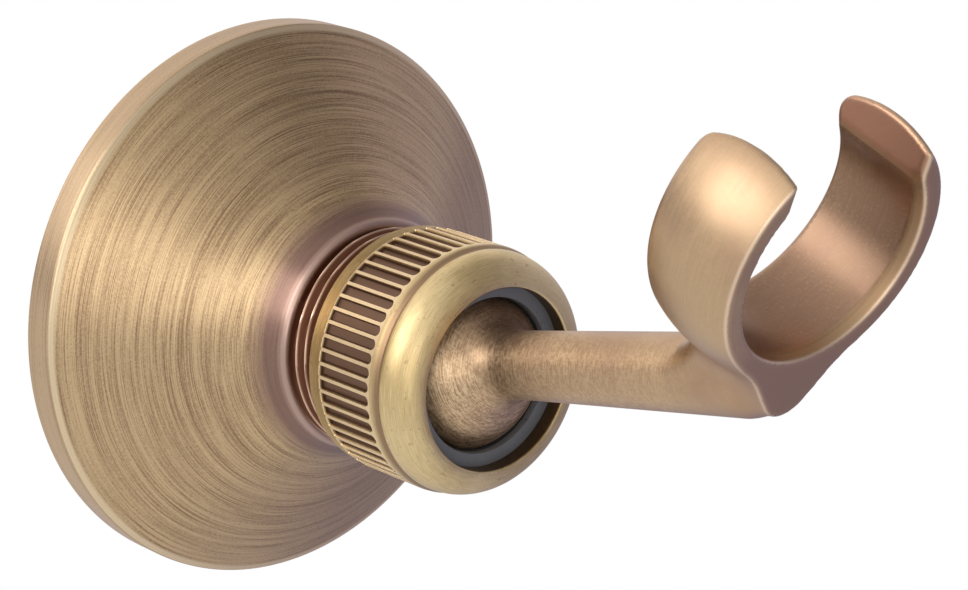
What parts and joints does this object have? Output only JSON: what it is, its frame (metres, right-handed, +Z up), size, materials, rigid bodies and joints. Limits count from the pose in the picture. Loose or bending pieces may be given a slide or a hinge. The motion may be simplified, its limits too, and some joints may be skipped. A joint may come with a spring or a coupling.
{
  "type": "hand shower holder",
  "caption": "Wall-mounted hand shower holder in antique brass: a turned bell flange, a ball joint locked by a knurled nut, and an arm ending in an open C-shaped clip.",
  "frame": {"origin": "centre of the flange's back face, on the wall plane and on the screw's axis", "axes": "-Y straight out from the wall, +Y into the wall, +Z up"},
  "size_m": [0.062, 0.1137, 0.0667],
  "materials": {
    "flange_brass": "antique, lathe brushed",
    "screw_steel": "plain",
    "seat_nylon": "moulded",
    "ring_rubber": "moulded",
    "washer_plastic": "moulded",
    "nut_brass": "antique, satin",
    "arm_brass": "antique, hand brushed"
  },
  "bodies": {
    "flange": {"wall_flange": "flange_brass", "fixing_screw": "screw_steel"},
    "swivel_ring": {"friction_ring": "ring_rubber"},
    "tilt_seat": {"ball_seat": "seat_nylon"},
    "arm": {"holder_arm": "arm_brass"},
    "washer": {"slip_washer": "washer_plastic"},
    "nut": {"knurled_nut": "nut_brass"}
  },
  "joints": [
    {"name": "arm_swivel", "type": "hinge", "parent": "flange", "child": "swivel_ring", "pos_m": [0, -0.032, 0], "axis": [0, -1, 0], "continuous": true},
    {"name": "arm_tilt", "type": "hinge", "parent": "swivel_ring", "child": "tilt_seat", "pos_m": [0, -0.032, 0], "axis": [1, 0, 0], "range_deg": [-11, 36]},
    {"name": "arm_roll", "type": "hinge", "parent": "tilt_seat", "child": "arm", "pos_m": [0, -0.032, 0], "axis": [0, -0.9769, 0.2135], "continuous": true},
    {"name": "nut_back_off", "type": "slide", "parent": "flange", "child": "washer", "axis": [0, -1, 0], "range_m": [0, 0.0015]},
    {"name": "nut_turn", "type": "hinge", "parent": "washer", "child": "nut", "pos_m": [0, -0.031, 0], "axis": [0, -1, 0], "range_deg": [0, 360]}
  ],
  "couplings": [
    {"joint": "nut_back_off", "follows": "nut_turn", "m_per_rad": 0.00023873}
  ]
}
